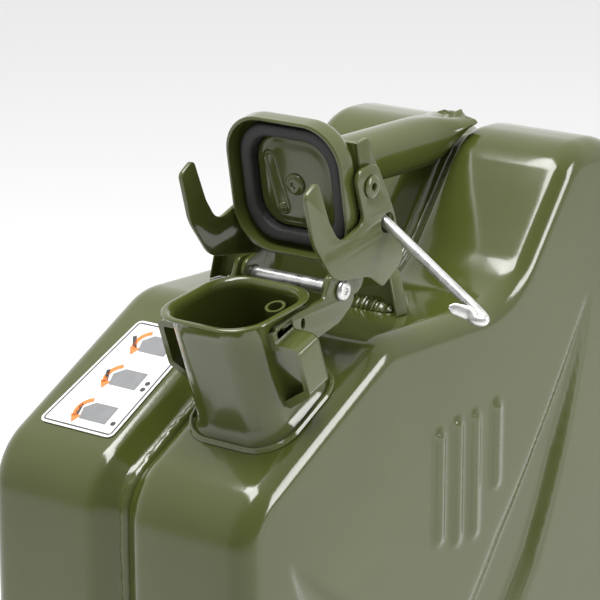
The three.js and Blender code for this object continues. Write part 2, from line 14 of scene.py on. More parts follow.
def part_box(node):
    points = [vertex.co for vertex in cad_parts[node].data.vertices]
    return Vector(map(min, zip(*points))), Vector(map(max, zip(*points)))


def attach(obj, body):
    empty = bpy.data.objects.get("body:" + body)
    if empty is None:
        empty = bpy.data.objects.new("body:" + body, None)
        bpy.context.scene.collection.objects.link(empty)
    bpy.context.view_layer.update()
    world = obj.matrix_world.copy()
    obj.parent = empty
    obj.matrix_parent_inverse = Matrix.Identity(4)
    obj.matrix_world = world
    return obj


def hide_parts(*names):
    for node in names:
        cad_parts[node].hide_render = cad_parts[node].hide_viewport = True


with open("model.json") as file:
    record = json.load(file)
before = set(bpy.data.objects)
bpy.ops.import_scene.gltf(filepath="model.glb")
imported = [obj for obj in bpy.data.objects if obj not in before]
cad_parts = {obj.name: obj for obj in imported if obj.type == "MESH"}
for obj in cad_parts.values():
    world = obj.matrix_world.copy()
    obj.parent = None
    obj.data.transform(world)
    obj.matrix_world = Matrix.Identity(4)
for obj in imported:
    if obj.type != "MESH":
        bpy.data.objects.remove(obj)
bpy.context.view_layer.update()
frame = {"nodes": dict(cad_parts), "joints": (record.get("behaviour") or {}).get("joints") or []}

MM = 0.001
NODES = frame["nodes"]
JOINTS = {joint["name"]: Vector(joint["pos_m"]) / MM for joint in frame["joints"]}

# Driving sizes, read from the frame where it holds them.
NEAR_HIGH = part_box("half_shell_near")[1] / MM
FAR_LOW, FAR_HIGH = (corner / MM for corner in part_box("half_shell_far"))
SEAM_Y = (NEAR_HIGH.y + FAR_LOW.y) / 2
HALF_LENGTH = NEAR_HIGH.x
HUMP_TOP = NEAR_HIGH.z
HALF_DEPTH = FAR_HIGH.y - SEAM_Y
SHOULDER_FRONT = Vector((-HALF_LENGTH, 269))
SHOULDER_REAR = Vector((-48.5, 319))
CHANNEL_DEPTH = 8
SIDE_RADIUS = 10
SHEET = 0.9

# The closure. Its own sizes are measured from CLOSURE, a point of the can at the top of the spout.
HINGE = JOINTS["lid_hinge"]
PIVOT = JOINTS["lever_pivot"]
PIN_HOLE = JOINTS["pin_tilt"]
CLOSURE = HINGE - Vector((-5.7, 0, 1.4))
MOUTH = Vector((-43.2, 0, 1.1))
MOUTH_TILT = math.radians(8)
NECK_LEAN = math.radians(20)
NECK_HALF = 22
NECK_BORE = 20.6
FLANGE_HALF = 24.8
CORNER_SHARE = 0.6
LID_ANGLE = math.radians(88 - 8)
LID_CENTRE = Vector((-38.5, 0, 1.9))
LID_HALF = 29
LID_DEPTH = 11
EAR_INSIDE = 22.3
LOOP_REACH = 35.6
PIN_DROOP = math.radians(33)
PIN_LENGTH = 58
HANDLE_RADIUS = 11.75
HANDLE_HEIGHT = 371.5
FOOT_X = -13.5
NECK_DOWN = Vector((math.sin(NECK_LEAN), 0, -math.cos(NECK_LEAN)))


# ---------------------------------------------------------------- materials

def new_material(name):
    """A node material: (material, nodes, links, shader)."""
    material = bpy.data.materials.new(name)
    material.use_nodes = True
    nodes = material.node_tree.nodes
    return material, nodes, material.node_tree.links, nodes["Principled BSDF"]


def noise_node(nodes, links, scale, detail=4.0, roughness=0.5):
    """Noise in the object's own coordinates, with its scale per metre."""
    coordinates = nodes.new("ShaderNodeTexCoord")
    texture = nodes.new("ShaderNodeTexNoise")
    texture.inputs["Scale"].default_value = scale
    texture.inputs["Detail"].default_value = detail
    texture.inputs["Roughness"].default_value = roughness
    links.new(coordinates.outputs["Object"], texture.inputs["Vector"])
    return texture


def ramp_node(nodes, links, source, low, high, colors):
    """A ramp between two colours, from one value of the source to another."""
    ramp = nodes.new("ShaderNodeValToRGB")
    for element, place, color in zip(ramp.color_ramp.elements, (low, high), colors):
        element.position = place
        element.color = (*color, 1)
    links.new(source, ramp.inputs["Fac"])
    return ramp


def map_node(nodes, links, source, low, high, to_low, to_high):
    """The source, mapped from one range to another."""
    mapped = nodes.new("ShaderNodeMapRange")
    for socket, value in zip(("From Min", "From Max", "To Min", "To Max"), (low, high, to_low, to_high)):
        mapped.inputs[socket].default_value = value
    links.new(source, mapped.inputs["Value"])
    return mapped


def bump_chain(nodes, links, shader, layers):
    """Bumps on one another: each layer is a height socket, a strength and a depth in metres."""
    previous = None
    for source, strength, distance in layers:
        bump = nodes.new("ShaderNodeBump")
        bump.inputs["Strength"].default_value = strength
        bump.inputs["Distance"].default_value = distance
        links.new(source, bump.inputs["Height"])
        if previous:
            links.new(previous.outputs["Normal"], bump.inputs["Normal"])
        previous = bump
    links.new(previous.outputs["Normal"], shader.inputs["Normal"])


def paint_material(name, dark, light, dents=0.5):
    """Gloss olive paint: slow colour drift, faint worn edges, orange peel and soft dents."""
    material, nodes, links, shader = new_material(name)
    drift = noise_node(nodes, links, 9, 3)
    tone = ramp_node(nodes, links, drift.outputs["Fac"], 0.35, 0.7, (dark, light))
    geometry = nodes.new("ShaderNodeNewGeometry")
    edge = map_node(nodes, links, geometry.outputs["Pointiness"], 0.53, 0.62, 0, 0.35)
    speckle = noise_node(nodes, links, 160, 5, 0.7)
    worn = nodes.new("ShaderNodeMath")
    worn.operation = "MULTIPLY"
    links.new(edge.outputs["Result"], worn.inputs[0])
    links.new(speckle.outputs["Fac"], worn.inputs[1])
    mix = nodes.new("ShaderNodeMix")
    mix.data_type = "RGBA"
    mix.inputs["B"].default_value = (0.16, 0.18, 0.08, 1)
    links.new(worn.outputs["Value"], mix.inputs["Factor"])
    links.new(tone.outputs["Color"], mix.inputs["A"])
    links.new(mix.outputs["Result"], shader.inputs["Base Color"])
    smears = noise_node(nodes, links, 35, 6, 0.6)
    sheen = map_node(nodes, links, smears.outputs["Fac"], 0.3, 0.7, 0.11, 0.19)
    links.new(sheen.outputs["Result"], shader.inputs["Roughness"])
    shader.inputs["Specular IOR Level"].default_value = 0.42
    shader.inputs["Coat Weight"].default_value = 0.3
    shader.inputs["Coat Roughness"].default_value = 0.06
    peel = noise_node(nodes, links, 420, 2)
    wave = noise_node(nodes, links, 16, 2)
    bump_chain(nodes, links, shader, [
        (peel.outputs["Fac"], 0.12, 0.0002), (wave.outputs["Fac"], dents, 0.0012),
    ])
    return material


def zinc_material():
    """Bright zinc plate with fine scratches and dull blotches."""
    material, nodes, links, shader = new_material("zinc_plate")
    blotch = noise_node(nodes, links, 220, 5, 0.65)
    dull, bright = (0.50, 0.50, 0.49), (0.80, 0.80, 0.78)
    tone = ramp_node(nodes, links, blotch.outputs["Fac"], 0.3, 0.75, (dull, bright))
    links.new(tone.outputs["Color"], shader.inputs["Base Color"])
    shader.inputs["Metallic"].default_value = 0.9
    rough = map_node(nodes, links, blotch.outputs["Fac"], 0.3, 0.7, 0.22, 0.42)
    links.new(rough.outputs["Result"], shader.inputs["Roughness"])
    scratch = noise_node(nodes, links, 900, 3)
    bump_chain(nodes, links, shader, [(scratch.outputs["Fac"], 0.25, 0.0001)])
    return material


def rubber_material():
    """Matt black rubber with a fine grain."""
    material, nodes, links, shader = new_material("black_rubber")
    grain = noise_node(nodes, links, 500, 4)
    black, scuffed = (0.008, 0.008, 0.008), (0.03, 0.03, 0.029)
    tone = ramp_node(nodes, links, grain.outputs["Fac"], 0.3, 0.8, (black, scuffed))
    links.new(tone.outputs["Color"], shader.inputs["Base Color"])
    rough = map_node(nodes, links, grain.outputs["Fac"], 0.3, 0.7, 0.45, 0.65)
    links.new(rough.outputs["Result"], shader.inputs["Roughness"])
    bump_chain(nodes, links, shader, [(grain.outputs["Fac"], 0.3, 0.0001)])
    return material


def print_material(name, color):
    """Vinyl or ink in one colour, slightly uneven."""
    material, nodes, links, shader = new_material(name)
    grain = noise_node(nodes, links, 260, 4)
    darker = tuple(0.9 * value for value in color)
    tone = ramp_node(nodes, links, grain.outputs["Fac"], 0.35, 0.7, (darker, color))
    links.new(tone.outputs["Color"], shader.inputs["Base Color"])
    rough = map_node(nodes, links, grain.outputs["Fac"], 0.3, 0.7, 0.34, 0.5)
    links.new(rough.outputs["Result"], shader.inputs["Roughness"])
    bump_chain(nodes, links, shader, [(grain.outputs["Fac"], 0.1, 0.0001)])
    return material


PAINT = paint_material("olive_gloss", (0.052, 0.063, 0.011), (0.066, 0.077, 0.017), 0.3)
PAINT_HARDWARE = paint_material("olive_gloss_hardware", (0.056, 0.067, 0.014), (0.071, 0.082, 0.021), 0.2)
ZINC = zinc_material()
RUBBER = rubber_material()
VINYL = print_material("label_white", (0.72, 0.72, 0.70))
INK = print_material("label_ink", (0.03, 0.03, 0.035))
GREY_INK = print_material("label_grey", (0.20, 0.205, 0.21))
ORANGE_INK = print_material("label_orange", (0.80, 0.20, 0.025))


# ---------------------------------------------------------------- mesh helpers

def finish_piece(piece, name, body, material, nodes=()):
    """Names a piece, gives it its material, and tells the frame what it rides on and replaces."""
    piece.name = name
    piece.data.materials.clear()
    piece.data.materials.append(material)
    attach(piece, body)
    if nodes:
        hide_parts(*nodes)
    return piece


def mesh_object(name, points, faces, smooth=True):
    """A mesh object from points in mm and faces, normals out, shaded smooth up to 40 degrees."""
    mesh = bpy.data.meshes.new(name)
    mesh.from_pydata([Vector(point) * MM for point in points], [], faces)
    bm = bmesh.new()
    bm.from_mesh(mesh)
    bmesh.ops.recalc_face_normals(bm, faces=bm.faces)
    bm.to_mesh(mesh)
    bm.free()
    piece = bpy.data.objects.new(name, mesh)
    bpy.context.scene.collection.objects.link(piece)
    if smooth:
        shade(piece)
    return piece


def shade(piece, angle=40):
    """Smooth shading, with edges over the angle in degrees kept sharp."""
    piece.data.shade_smooth()
    piece.data.set_sharp_from_angle(angle=math.radians(angle))


def loft(name, loops, ring=False, smooth=True):
    """A skin through loops of equally many points, capped at both ends or closed on itself."""
    count = len(loops[0])
    points = [point for loop in loops for point in loop]
    bands = len(loops) if ring else len(loops) - 1
    faces = []
    for band in range(bands):
        here = band * count
        there = ((band + 1) % len(loops)) * count
        for k in range(count):
            turn = (k + 1) % count
            faces.append((here + k, here + turn, there + turn, there + k))
    if not ring:
        faces.append(tuple(reversed(range(count))))
        faces.append(tuple(range(len(points) - count, len(points))))
    return mesh_object(name, points, faces, smooth)


def merge(name, *pieces):
    """One object of several, in the first one's place."""
    bm = bmesh.new()
    for piece in pieces:
        bm.from_mesh(piece.data)
    mesh = bpy.data.meshes.new(name)
    bm.to_mesh(mesh)
    bm.free()
    for piece in pieces:
        bpy.data.objects.remove(piece)
    merged = bpy.data.objects.new(name, mesh)
    bpy.context.scene.collection.objects.link(merged)
    shade(merged)
    return merged


def place(piece, matrix):
    """Moves a piece's own points, in mm."""
    scaled = Matrix.Translation(matrix.translation * MM) @ matrix.to_3x3().to_4x4()
    piece.data.transform(scaled)
    return piece


def fillet_arcs(corners):
    """Arcs (centre, radius, side, turn, start angle) that round an outline given as (x, z, radius)."""
    arcs = []
    for k, (x, z, radius) in enumerate(corners):
        here = Vector((x, z))
        arriving = (here - Vector(corners[k - 1][:2])).normalized()
        leaving = (Vector(corners[(k + 1) % len(corners)][:2]) - here).normalized()
        cross = arriving.x * leaving.y - arriving.y * leaving.x
        turn = math.atan2(cross, arriving.dot(leaving))
        side = 1 if turn > 0 else -1
        start = here - arriving * radius * math.tan(abs(turn) / 2)
        centre = start + Vector((-arriving.y, arriving.x)) * radius * side
        spoke = start - centre
        arcs.append((centre, radius, side, turn, math.atan2(spoke.y, spoke.x)))
    return arcs


def outline_points(arcs, inset=0.0, steps=8, spacing=None):
    """Points of the rounded outline, drawn in by a distance; long straights may be divided."""
    points = []
    for centre, radius, side, turn, start in arcs:
        reach = radius - side * inset
        for k in range(steps + 1):
            angle = start + turn * k / steps
            points.append(centre + Vector((math.cos(angle), math.sin(angle))) * reach)
    if spacing is None:
        return points
    divided = []
    for here, there in zip(points, points[1:] + points[:1]):
        parts = max(1, round((there - here).length / spacing))
        divided += [here.lerp(there, k / parts) for k in range(parts)]
    return divided


def round_square(half, steps=10):
    """A square of a half width with well rounded corners, as every part of the spout has."""
    radius = half * CORNER_SHARE
    corners = [(-half, -half, radius), (half, -half, radius), (half, half, radius), (-half, half, radius)]
    return outline_points(fillet_arcs(corners), 0, steps)


def circle(radius, sides, centre=(0, 0)):
    """Points round a circle."""
    angles = [2 * math.pi * k / sides for k in range(sides)]
    return [Vector((centre[0] + radius * math.cos(a), centre[1] + radius * math.sin(a))) for a in angles]


def sheet_plate(name, outline, inside, thickness, side, holes=(), bevel=0.35):
    """Sheet metal in the XZ plane with rounded edges: outline and holes are lists of points."""
    curve = bpy.data.curves.new(name, "CURVE")
    curve.dimensions = "2D"
    curve.fill_mode = "BOTH"
    curve.extrude = (thickness / 2 - bevel) * MM
    curve.bevel_depth = bevel * MM
    curve.bevel_resolution = 2
    curve.offset = -bevel * MM
    for loop in (outline, *holes):
        spline = curve.splines.new("POLY")
        spline.points.add(len(loop) - 1)
        spline.use_cyclic_u = True
        for point, at in zip(spline.points, loop):
            point.co = (at.x * MM, at.y * MM, 0, 1)
    holder = bpy.data.objects.new(name, curve)
    bpy.context.scene.collection.objects.link(holder)
    bpy.context.view_layer.update()
    mesh = bpy.data.meshes.new_from_object(holder.evaluated_get(bpy.context.evaluated_depsgraph_get()))
    bpy.data.objects.remove(holder)
    mesh.transform(Matrix.Rotation(math.pi / 2, 4, "X"))
    mesh.transform(Matrix.Translation((0, side * (inside + thickness / 2) * MM, 0)))
    bm = bmesh.new()
    bm.from_mesh(mesh)
    bmesh.ops.remove_doubles(bm, verts=bm.verts, dist=0.00001)
    bmesh.ops.recalc_face_normals(bm, faces=bm.faces)
    bm.to_mesh(mesh)
    bm.free()
    piece = bpy.data.objects.new(name, mesh)
    bpy.context.scene.collection.objects.link(piece)
    shade(piece, 50)
    return piece


def turned(name, profile, axis_y=True, sides=40):
    """A turned piece: (radius, height) points about Y (or Z), the ends on the axis."""
    loops = []
    for radius, height in profile:
        ring = circle(max(radius, 0.01), sides)
        loops.append([Vector((p.x, height, p.y)) if axis_y else Vector((p.x, p.y, height)) for p in ring])
    return loft(name, loops)


def swept(name, path, radii, sides=20):
    """A rod along points, with a half width and half height at each: [(width, height), ...]."""
    loops = []
    across = None
    for k, at in enumerate(path):
        along = (path[min(k + 1, len(path) - 1)] - path[max(k - 1, 0)]).normalized()
        if across is None:
            across = along.cross(Vector((0, 0, 1))).normalized()
        across = (across - along * across.dot(along)).normalized()
        up = across.cross(along)
        width, height = radii[k]
        loops.append([at + across * p.x * width + up * p.y * height for p in circle(1, sides)])
    return loft(name, loops)


def smooth_path(points, per_span=8):
    """Points along a Catmull-Rom curve."""
    path = []
    padded = [2 * points[0] - points[1], *points, 2 * points[-1] - points[-2]]
    for before, here, there, after in zip(padded, padded[1:], padded[2:], padded[3:]):
        for k in range(per_span):
            t = k / per_span
            square = (2 * before - 5 * here + 4 * there - after) * t**2
            cube = (3 * here - before - 3 * there + after) * t**3
            path.append(0.5 * (2 * here + (there - before) * t + square + cube))
    return path + [points[-1]]


# ---------------------------------------------------------------- can body

BODY_ARCS = fillet_arcs([
    (-HALF_LENGTH, 0, 18), (HALF_LENGTH, 0, 18), (HALF_LENGTH, HUMP_TOP, 38), (84.5, HUMP_TOP, 27),
    (38.5, 317, 40), (*SHOULDER_REAR, 30), (*SHOULDER_FRONT, 30),
])


def body_loop(y, inset, steps=14, spacing=12):
    """The can's outline at a distance from the seam, drawn in by inset."""
    return [Vector((p.x, SEAM_Y + y, p.y)) for p in outline_points(BODY_ARCS, inset, steps, spacing)]


def half_section():
    """The pressed section: (distance from the seam, distance in from the outline)."""
    section = [(0.15, 8), (2, 8), (3.6, 7.8), (4.8, 7.1), (9.2, 2.5), (10.4, 1.4), (11.6, 0.7), (13.2, 0.2)]
    section += [(15.5, 0), (26, 0), (37, 0), (48, 0)]
    flat_end = HALF_DEPTH - SIDE_RADIUS
    steps = 9
    for k in range(steps + 1):
        angle = math.pi / 2 * k / steps
        section.append((flat_end + SIDE_RADIUS * math.sin(angle), SIDE_RADIUS * (1 - math.cos(angle))))
    return section


def bezier(a, b, c, t):
    """A point of a curve from a to c that bends towards b."""
    return a * (1 - t) ** 2 + b * 2 * t * (1 - t) + c * t**2


# The grid that the side panels are pressed on, by side: finer on the near one.
FINE_STEP = {-1: 2, 1: 3}

# Tips (x, z) of the pressed swage's four arms, which meet at its centre.
SWAGE_TIPS = [(100, 304), (-112, 240), (101, 36), (-101, 36)]
SWAGE_CENTRE = Vector((0, 148))
SWAGE_TIP_HALF = 1.5
SWAGE_HALF = 20
SWAGE_DEPTH = 4.4
SWAGE_LINES = []
for tip_x, tip_z in SWAGE_TIPS:
    bend = Vector((tip_x * 0.62, SWAGE_CENTRE.y + (tip_z - SWAGE_CENTRE.y) * 0.36))
    line = [bezier(Vector((tip_x, tip_z)), bend, SWAGE_CENTRE, k / 24) for k in range(25)]
    SWAGE_LINES.append(line)

# Raised ribs on the side panel: (x, lowest z, highest z).
RIB_HALF = 4.8
RIB_HEIGHT = 1.5
RIBS = [(-13, 224, 268), (0, 220, 270), (13, 220, 270), (29, 238, 271)]


def smooth_step(value):
    """0 to 1 with level ends."""
    value = min(max(value, 0.0), 1.0)
    return value * value * (3 - 2 * value)


def swage_depth(x, z):
    """How deep the four tapering arms of the swage are pressed at a point of the side panel."""
    here = Vector((x, z))
    deepest = 0.0
    for line in SWAGE_LINES:
        for k in range(len(line) - 1):
            run = line[k + 1] - line[k]
            share = min(max((here - line[k]).dot(run) / run.length_squared, 0), 1)
            gap = (here - line[k].lerp(line[k + 1], share)).length
            along = (k + share) / (len(line) - 1)
            width = SWAGE_TIP_HALF + SWAGE_HALF * min(along * 1.7, 1) ** 0.8
            if gap < width:
                wall = smooth_step((width - gap) / (2 + 0.5 * width))
                deepest = max(deepest, SWAGE_DEPTH * min(0.2 + along * 2.4, 1) * wall)
    return deepest


def rib_height(x, z):
    """How far the raised ribs stand out at a point of the side panel."""
    tallest = 0.0
    for middle, low, high in RIBS:
        gap = math.hypot(x - middle, max(low - z, 0, z - high))
        tallest = max(tallest, RIB_HEIGHT * smooth_step((RIB_HALF - gap) / 4))
    return tallest


def lies_at(face, level):
    """True for a face of the flat panel, by its height in Y."""
    return all(abs(vert.co.y - level) < 1e-6 for vert in face.verts)


def divide_panel(bm, step):
    """Cuts the flat side panel into a fine grid, so that it can be pressed."""
    panel = max(bm.faces, key=lambda face: face.calc_area())
    planes = [((x, 0, 0), (1, 0, 0)) for x in range(-130, 131, step)]
    planes += [((0, 0, z), (0, 0, 1)) for z in range(12, 366, step)]
    level = panel.verts[0].co.y
    for at, normal in planes:
        flat = [f for f in bm.faces if len(f.verts) > 3 and lies_at(f, level)]
        near = [f for f in flat if crosses(f, Vector(at) * MM, Vector(normal))]
        geom = list(dict.fromkeys(e for f in near for e in (*f.verts, *f.edges, f)))
        bmesh.ops.bisect_plane(bm, geom=geom, dist=1e-7, plane_co=Vector(at) * MM, plane_no=normal)
    return level


def crosses(face, at, normal):
    """True for a face with points on both sides of a plane."""
    sides = [(vert.co - at).dot(normal) for vert in face.verts]
    return min(sides) < -1e-7 and max(sides) > 1e-7


def half_shell(side):
    """One half: a closed sheet 0.9 mm thick, with rims, swage and ribs."""
    loops = [body_loop(side * y, inset) for y, inset in half_section()]
    count = len(loops[0])
    points = [point for loop in loops for point in loop]
    faces = []
    for band in range(len(loops) - 1):
        for k in range(count):
            turn = (k + 1) % count
            here, there = band * count, (band + 1) * count
            faces.append((here + k, here + turn, there + turn, there + k))
    faces.append(tuple(range(len(points) - count, len(points))))
    shell = mesh_object("half", points, faces)
    bm = bmesh.new()
    bm.from_mesh(shell.data)
    level = divide_panel(bm, FINE_STEP[side])
    for vert in bm.verts:
        if abs(vert.co.y - level) < 1e-6:
            x, z = vert.co.x / MM, vert.co.z / MM
            vert.co.y += side * MM * (rib_height(x, z) - swage_depth(x, z))
    bmesh.ops.recalc_face_normals(bm, faces=bm.faces)
    bm.to_mesh(shell.data)
    bm.free()
    shade(shell, 60)
    thick = shell.modifiers.new("sheet", "SOLIDIFY")
    thick.thickness = SHEET * MM
    thick.offset = -1
    return shell


def neck_loop(down, tilt, half, steps=10):
    """The neck's section at a distance down its axis, cut at a tilt from level."""
    centre = MOUTH + NECK_DOWN * down
    stretch = 1 / math.cos(tilt - NECK_LEAN)
    slope = Vector((math.cos(tilt), 0, math.sin(tilt)))
    centre = CLOSURE + centre
    return [centre + slope * p.x * stretch + Vector((0, p.y, 0)) for p in round_square(half, steps)]


SHOULDER_TILT = math.atan2(SHOULDER_REAR.y - SHOULDER_FRONT.y, SHOULDER_REAR.x - SHOULDER_FRONT.x)


def neck_length():
    """From the mouth to a plane 0.3 mm off the shoulder, along the neck's axis."""
    normal = Vector((-math.sin(SHOULDER_TILT), 0, math.cos(SHOULDER_TILT)))
    shoulder = Vector((SHOULDER_FRONT.x, 0, SHOULDER_FRONT.y)) + normal * 0.3 - CLOSURE
    return (shoulder - MOUTH).dot(normal) / NECK_DOWN.dot(normal)


NECK_LENGTH = neck_length()


def build_body():
    """Both half shells, with the hole under the spout in the near one."""
    for side, half in ((-1, "near"), (1, "far")):
        shell = half_shell(side)
        if side < 0:
            ends = [neck_loop(NECK_LENGTH + reach, SHOULDER_TILT, NECK_BORE) for reach in (-12, 12)]
            hole = loft("hole", ends)
            cutter = shell.modifiers.new("spout_hole", "BOOLEAN")
            cutter.operation = "DIFFERENCE"
            cutter.object = hole
        bpy.context.view_layer.update()
        graph = bpy.context.evaluated_depsgraph_get()
        mesh = bpy.data.meshes.new_from_object(shell.evaluated_get(graph))
        shell.modifiers.clear()
        shell.data = mesh
        if side < 0:
            bpy.data.objects.remove(hole)
        finish_piece(shell, f"shell_{half}_pressed", "body", PAINT, [f"half_shell_{half}"])


def build_seam():
    """The uneven bead at the bottom of the channel."""
    section = [(-2.6, -0.3), (-2.3, 0.5), (-1.3, 1.6), (0, 2.1), (1.3, 1.6), (2.3, 0.5), (2.6, -0.3)]
    loops = []
    for y, height in section:
        loop = []
        for at in body_loop(0, CHANNEL_DEPTH, 14, 2.2):
            ripple = noise.noise(at * 0.22) * 0.5 + noise.noise(at * 0.7) * 0.4
            outward = (at - Vector((0, at.y, 187))).normalized()
            sideways = Vector((0, y * (1 + 0.25 * ripple) + 0.9 * ripple, 0))
            loop.append(at + sideways + outward * height * (1 + 0.45 * ripple))
        loops.append(loop)
    seam = loft("seam", loops, ring=True)
    finish_piece(seam, "seam_bead", "body", PAINT_HARDWARE, ["seam_weld"])


# ---------------------------------------------------------------- spout

def build_neck():
    """The drawn neck with its rolled flange and flared foot, and the weld bead round it."""

    def tilt(share):
        return MOUTH_TILT + (SHOULDER_TILT - MOUTH_TILT) * share

    wall = [(k, NECK_HALF - 0.25 * math.sin(math.pi * k)) for k in (0.15, 0.3, 0.5, 0.7, 0.85)]
    foot = NECK_LENGTH
    loops = [
        neck_loop(0.5, MOUTH_TILT, FLANGE_HALF - 0.9), neck_loop(0.6, MOUTH_TILT, FLANGE_HALF - 0.45),
        neck_loop(0.95, MOUTH_TILT, FLANGE_HALF - 0.1), neck_loop(1.4, MOUTH_TILT, FLANGE_HALF),
        neck_loop(1.9, MOUTH_TILT, FLANGE_HALF - 0.25), neck_loop(2.3, MOUTH_TILT, FLANGE_HALF - 1),
        neck_loop(2.7, MOUTH_TILT, FLANGE_HALF - 2.1), neck_loop(3.4, MOUTH_TILT, NECK_HALF + 0.15),
    ]
    loops += [neck_loop(3 + (foot - 9) * share, tilt(share), half) for share, half in wall]
    loops += [
        neck_loop(foot - 7, SHOULDER_TILT, NECK_HALF),
        neck_loop(foot - 4.5, SHOULDER_TILT, NECK_HALF + 0.3),
        neck_loop(foot - 2.6, SHOULDER_TILT, NECK_HALF + 0.9),
        neck_loop(foot - 1.2, SHOULDER_TILT, NECK_HALF + 1.7),
        neck_loop(foot, SHOULDER_TILT, NECK_HALF + 2.5), neck_loop(foot, SHOULDER_TILT, NECK_BORE),
        neck_loop(foot * 0.5, tilt(0.5), NECK_BORE), neck_loop(5, MOUTH_TILT, NECK_BORE),
        neck_loop(2.6, MOUTH_TILT, NECK_BORE + 0.25), neck_loop(1.2, MOUTH_TILT, NECK_BORE + 1.1),
        neck_loop(0.5, MOUTH_TILT, NECK_BORE + 2.2), neck_loop(0.4, MOUTH_TILT, FLANGE_HALF - 1.6),
    ]
    neck = loft("neck", loops, ring=True)
    finish_piece(neck, "spout_neck_drawn", "body", PAINT, ["spout_neck"])
    bead_section = [(0, 2.6), (-1.1, 2.5), (-1.5, 3.0), (-1.2, 3.8), (0, 4.3)]
    loops = []
    for down, out in bead_section:
        loop = neck_loop(NECK_LENGTH + down, SHOULDER_TILT, NECK_HALF + out, 16)
        centre = CLOSURE + MOUTH + NECK_DOWN * NECK_LENGTH
        loops.append([at + (at - centre).normalized() * 0.35 * noise.noise(at * 0.35) for at in loop])
    bead = loft("bead", loops, ring=True)
    finish_piece(bead, "neck_weld_bead", "body", PAINT_HARDWARE, ["neck_weld"])


def build_vent():
    """The breather tube, from just inside the mouth to the far end of the can."""
    top = MOUTH + Vector((14.5, -7, 2)) + NECK_DOWN * 7
    foot = top + NECK_DOWN * 40
    inside_can = [Vector((30, -7, -50)), Vector((110, -7, -46)), Vector((170, -7, 12))]
    route = [top, top.lerp(foot, 0.5), foot, *inside_can]
    path = smooth_path([CLOSURE + point for point in route], 10)
    outer, inner = [], []
    across = Vector((0, 1, 0))
    for k, at in enumerate(path):
        along = (path[min(k + 1, len(path) - 1)] - path[max(k - 1, 0)]).normalized()
        up = across.cross(along).normalized()
        outer.append([at + across * p.x + up * p.y for p in circle(4.2, 24)])
        inner.append([at + across * p.x + up * p.y for p in circle(3, 24)])
    tube = loft("tube", outer + inner[::-1], ring=True)
    finish_piece(tube, "vent_tube_drawn", "body", PAINT_HARDWARE, ["vent_tube"])


# Plate outlines from the closure's origin, as (x, z, corner radius).
EAR_OUTLINE = [
    (-45.6, -12, 1), (-33, -10, 2), (-22, -15, 4), (-7, -11.5, 6), (2.6, -5, 6),
    (2, 9, 6.5), (-12.5, 9, 4), (-16.5, 0.2, 3), (-34, -1.6, 2), (-48.2, -4.8, 1),
]


def latch_loop(side):
    """The strap that the hooks catch, bent outwards from the neck and back to it."""
    inner, outer = EAR_INSIDE, LOOP_REACH
    corners = [
        (inner, 5, 0.6), (inner, 12.2, 0.4), (outer - 2, 12.6, 1.5), (outer - 2, 29.8, 1.5), (inner, 37, 1),
        (inner, 39.5, 0.6), (inner + 1.6, 39.5, 2), (outer, 31.5, 3.2), (outer, 10.5, 3),
        (inner + 2, 10.2, 1.2), (inner + 2, 5, 0.6),
    ]
    profile = outline_points(fillet_arcs(corners), 0, 5)
    inset = outline_points(fillet_arcs(corners), 0.35, 5)
    loops = []
    for points, across in ((inset, -9), (profile, -8.65), (profile, 3.05), (inset, 3.4)):
        foot = Vector((across * math.cos(NECK_LEAN), 0, across * math.sin(NECK_LEAN)))
        origin = CLOSURE + MOUTH + foot
        loops.append([origin + NECK_DOWN * p.y + Vector((0, side * p.x, 0)) for p in points])
    return loft("strap", loops)


def build_brackets():
    """The two hinge ears, each with its latch loop."""
    for side, half in ((-1, "near"), (1, "far")):
        slot = [Vector((-30.5 + p.x * 1.2, -6.6 + p.y * 2.2)) for p in circle(1, 16)]
        holes = [circle(3.2, 24, (-5.7, 1.4)), slot]
        outline = outline_points(fillet_arcs(EAR_OUTLINE), 0, 8)
        ear = sheet_plate("ear", outline, EAR_INSIDE, 2, side, holes)
        place(ear, Matrix.Translation(CLOSURE))
        piece = merge("bracket", ear, latch_loop(side))
        name, node = f"bracket_{half}_pressed", f"latch_bracket_{half}"
        finish_piece(piece, name, "body", PAINT_HARDWARE, [node])


def build_hinge_pin():
    """A pin with a domed and dimpled head at each end."""
    seat = 24.6
    half = [(0, seat + 1.1), (1.2, seat + 1.2), (1.5, seat + 1.9), (2.4, seat + 2), (3.4, seat + 1.7),
            (4.1, seat + 1), (4.2, seat + 0.2), (4.1, seat), (3, seat)]
    profile = half + [(r, -y) for r, y in reversed(half)]
    pin = turned("pin", profile)
    place(pin, Matrix.Translation(HINGE))
    finish_piece(pin, "hinge_pin_riveted", "body", ZINC, ["hinge_pin"])


# ---------------------------------------------------------------- lid

LID_MATRIX = Matrix.Translation(HINGE) @ Matrix.Rotation(LID_ANGLE, 4, "Y")


def lid_loop(half, height, steps=12):
    """A rounded square of the lid: a height above its rim, at the lid's own angle."""
    points = [Vector((LID_CENTRE.x + p.x, p.y, LID_CENTRE.z + height)) for p in round_square(half, steps)]
    return [LID_MATRIX @ point for point in points]


def lid_profile(points, name, material, node, ring=False):
    """A lid piece through (half width, height) pairs."""
    piece = loft("lid", [lid_loop(half, height) for half, height in points], ring)
    return finish_piece(piece, name, "lid", material, [node])


